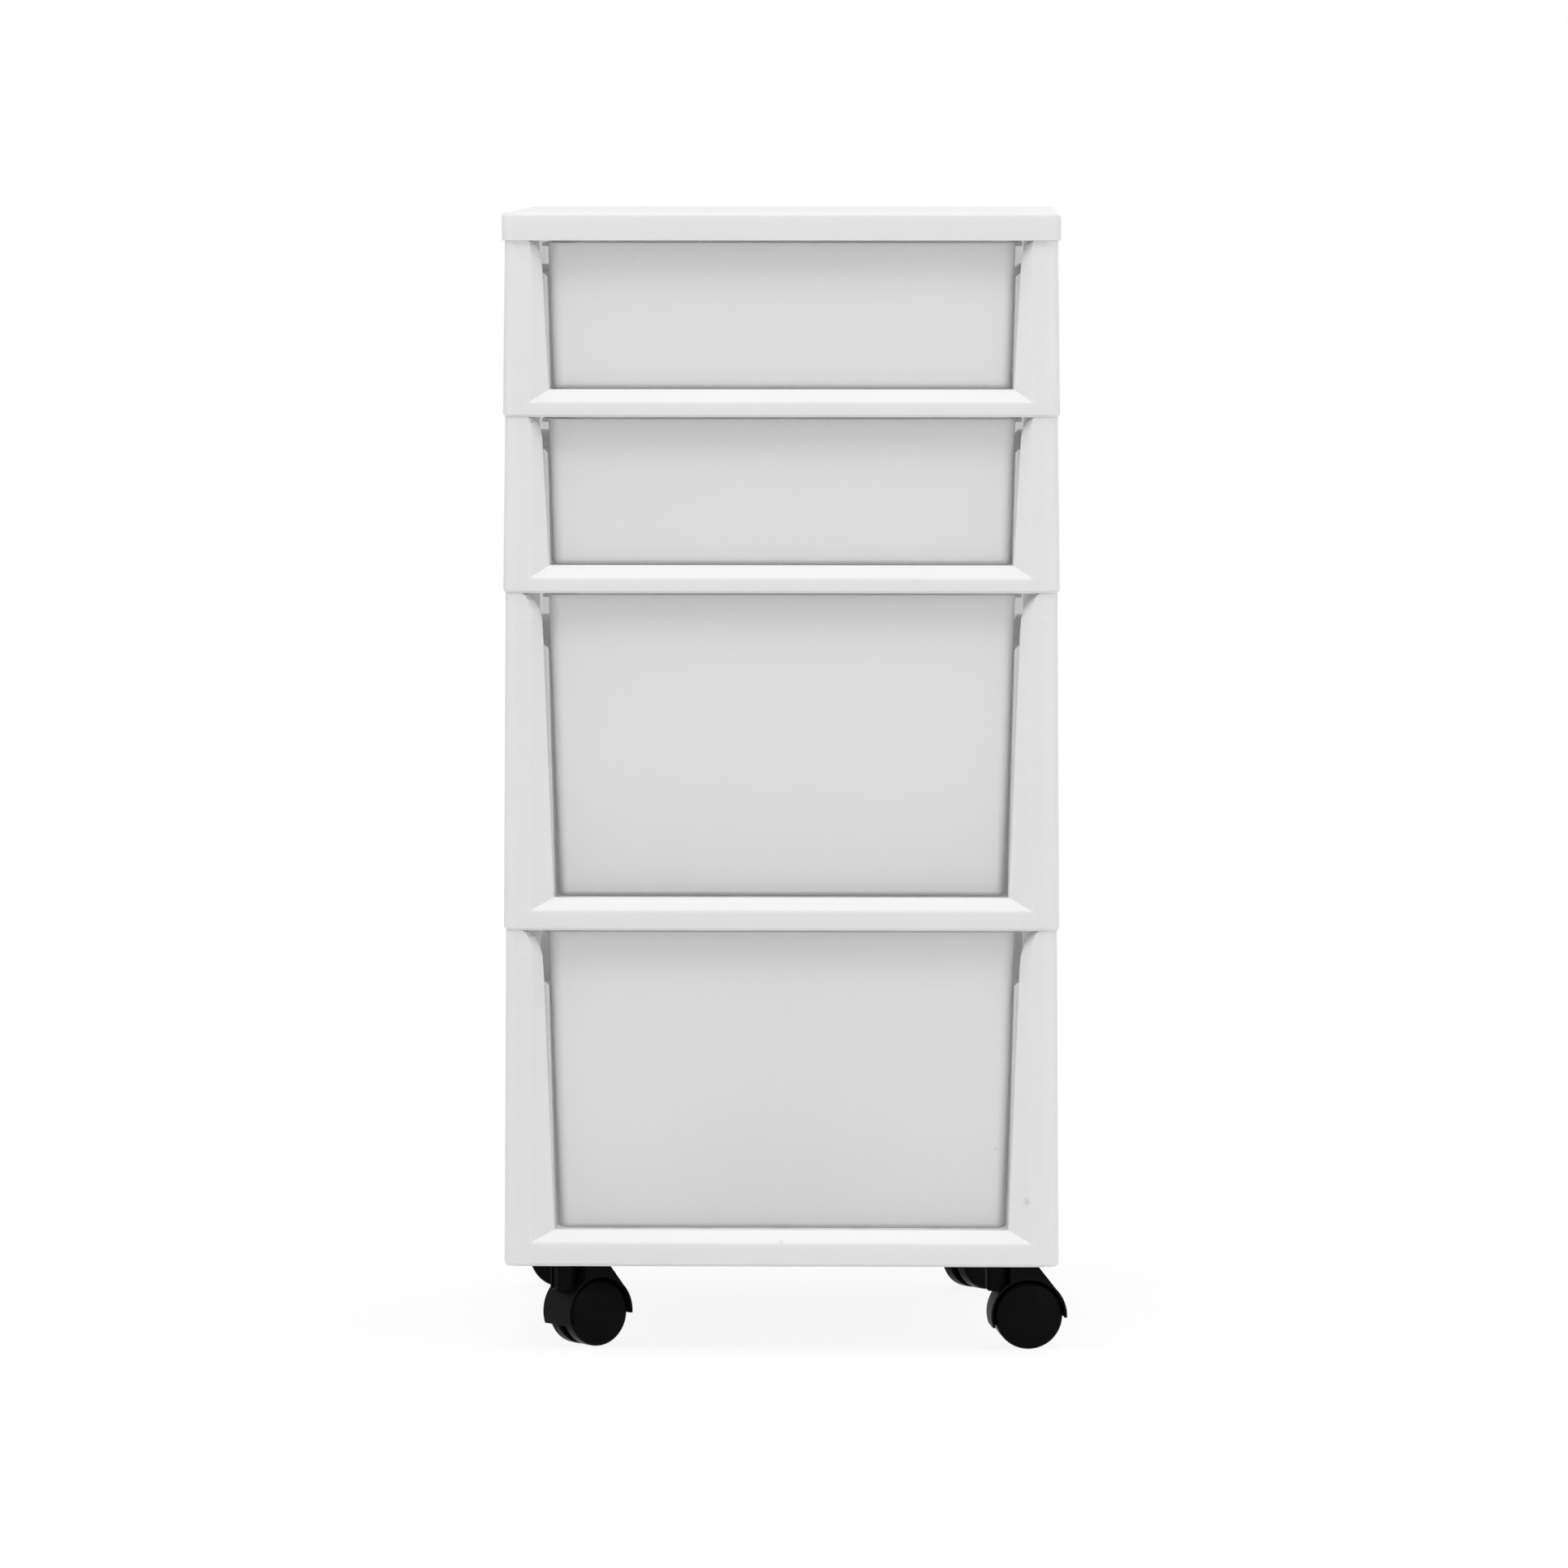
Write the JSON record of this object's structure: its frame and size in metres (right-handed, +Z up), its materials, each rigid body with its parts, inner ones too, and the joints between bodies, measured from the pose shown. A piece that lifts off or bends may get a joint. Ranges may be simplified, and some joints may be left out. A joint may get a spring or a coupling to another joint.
{
  "type": "plastic drawer tower",
  "caption": "Free-standing tower of stacked moulded frames with sliding translucent drawers, a flat lid and swivelling twin-wheel casters.",
  "frame": {"origin": "on the floor under the middle of the tower's footprint, where the wheels rest", "axes": "+X to the right as seen from the front, +Y from the drawer fronts to the back, +Z up"},
  "size_m": [0.3366, 0.391, 0.6705],
  "materials": {
    "white_plastic": "satin white polypropylene",
    "frosted_plastic": "frosted translucent polypropylene",
    "black_nylon": "satin moulded nylon",
    "black_wheel": "satin moulded nylon",
    "zinc_steel": "zinc plated"
  },
  "bodies": {
    "tower": {"lid": "white_plastic", "upper_shallow_frame": "white_plastic", "lower_shallow_frame": "white_plastic", "upper_deep_frame": "white_plastic", "base_frame": "white_plastic", "front_left_stem": "zinc_steel", "front_left_grip_ring": "zinc_steel", "front_right_stem": "zinc_steel", "front_right_grip_ring": "zinc_steel", "rear_left_stem": "zinc_steel", "rear_left_grip_ring": "zinc_steel", "rear_right_stem": "zinc_steel", "rear_right_grip_ring": "zinc_steel"},
    "upper_shallow_drawer": {"upper_shallow_drawer": "frosted_plastic"},
    "lower_shallow_drawer": {"lower_shallow_drawer": "frosted_plastic"},
    "upper_deep_drawer": {"upper_deep_drawer": "frosted_plastic"},
    "lower_deep_drawer": {"lower_deep_drawer": "frosted_plastic"},
    "front_left_caster": {"front_left_housing": "black_nylon", "front_left_axle": "zinc_steel"},
    "front_left_wheel_1": {"front_left_wheel_1": "black_wheel"},
    "front_left_wheel_2": {"front_left_wheel_2": "black_wheel"},
    "front_right_caster": {"front_right_housing": "black_nylon", "front_right_axle": "zinc_steel"},
    "front_right_wheel_1": {"front_right_wheel_1": "black_wheel"},
    "front_right_wheel_2": {"front_right_wheel_2": "black_wheel"},
    "rear_left_caster": {"rear_left_housing": "black_nylon", "rear_left_axle": "zinc_steel"},
    "rear_left_wheel_1": {"rear_left_wheel_1": "black_wheel"},
    "rear_left_wheel_2": {"rear_left_wheel_2": "black_wheel"},
    "rear_right_caster": {"rear_right_housing": "black_nylon", "rear_right_axle": "zinc_steel"},
    "rear_right_wheel_1": {"rear_right_wheel_1": "black_wheel"},
    "rear_right_wheel_2": {"rear_right_wheel_2": "black_wheel"}
  },
  "joints": [
    {"name": "upper_shallow_drawer_slide", "type": "slide", "parent": "tower", "child": "upper_shallow_drawer", "axis": [0, -1, 0], "range_m": [0, 0.28]},
    {"name": "lower_shallow_drawer_slide", "type": "slide", "parent": "tower", "child": "lower_shallow_drawer", "axis": [0, -1, 0], "range_m": [0, 0.28]},
    {"name": "upper_deep_drawer_slide", "type": "slide", "parent": "tower", "child": "upper_deep_drawer", "axis": [0, -1, 0], "range_m": [0, 0.28]},
    {"name": "lower_deep_drawer_slide", "type": "slide", "parent": "tower", "child": "lower_deep_drawer", "axis": [0, -1, 0], "range_m": [0, 0.28]},
    {"name": "front_left_swivel", "type": "hinge", "parent": "tower", "child": "front_left_caster", "pos_m": [-0.1285, -0.155, 0.045], "axis": [0, 0, 1], "continuous": true},
    {"name": "front_left_wheel_1_spin", "type": "hinge", "parent": "front_left_caster", "child": "front_left_wheel_1", "pos_m": [-0.11556, -0.1456, 0.02], "axis": [-0.5878, 0.809, 0], "continuous": true},
    {"name": "front_left_wheel_2_spin", "type": "hinge", "parent": "front_left_caster", "child": "front_left_wheel_2", "pos_m": [-0.11556, -0.1456, 0.02], "axis": [-0.5878, 0.809, 0], "continuous": true},
    {"name": "front_right_swivel", "type": "hinge", "parent": "tower", "child": "front_right_caster", "pos_m": [0.1285, -0.155, 0.045], "axis": [0, 0, 1], "continuous": true},
    {"name": "front_right_wheel_1_spin", "type": "hinge", "parent": "front_right_caster", "child": "front_right_wheel_1", "pos_m": [0.14441, -0.15333, 0.02], "axis": [-0.1045, 0.9945, 0], "continuous": true},
    {"name": "front_right_wheel_2_spin", "type": "hinge", "parent": "front_right_caster", "child": "front_right_wheel_2", "pos_m": [0.14441, -0.15333, 0.02], "axis": [-0.1045, 0.9945, 0], "continuous": true},
    {"name": "rear_left_swivel", "type": "hinge", "parent": "tower", "child": "rear_left_caster", "pos_m": [-0.1285, 0.155, 0.045], "axis": [0, 0, 1], "continuous": true},
    {"name": "rear_left_wheel_1_spin", "type": "hinge", "parent": "rear_left_caster", "child": "rear_left_wheel_1", "pos_m": [-0.14441, 0.15333, 0.02], "axis": [0.1045, -0.9945, 0], "continuous": true},
    {"name": "rear_left_wheel_2_spin", "type": "hinge", "parent": "rear_left_caster", "child": "rear_left_wheel_2", "pos_m": [-0.14441, 0.15333, 0.02], "axis": [0.1045, -0.9945, 0], "continuous": true},
    {"name": "rear_right_swivel", "type": "hinge", "parent": "tower", "child": "rear_right_caster", "pos_m": [0.1285, 0.155, 0.045], "axis": [0, 0, 1], "continuous": true},
    {"name": "rear_right_wheel_1_spin", "type": "hinge", "parent": "rear_right_caster", "child": "rear_right_wheel_1", "pos_m": [0.11556, 0.1456, 0.02], "axis": [0.5878, -0.809, 0], "continuous": true},
    {"name": "rear_right_wheel_2_spin", "type": "hinge", "parent": "rear_right_caster", "child": "rear_right_wheel_2", "pos_m": [0.11556, 0.1456, 0.02], "axis": [0.5878, -0.809, 0], "continuous": true}
  ]
}
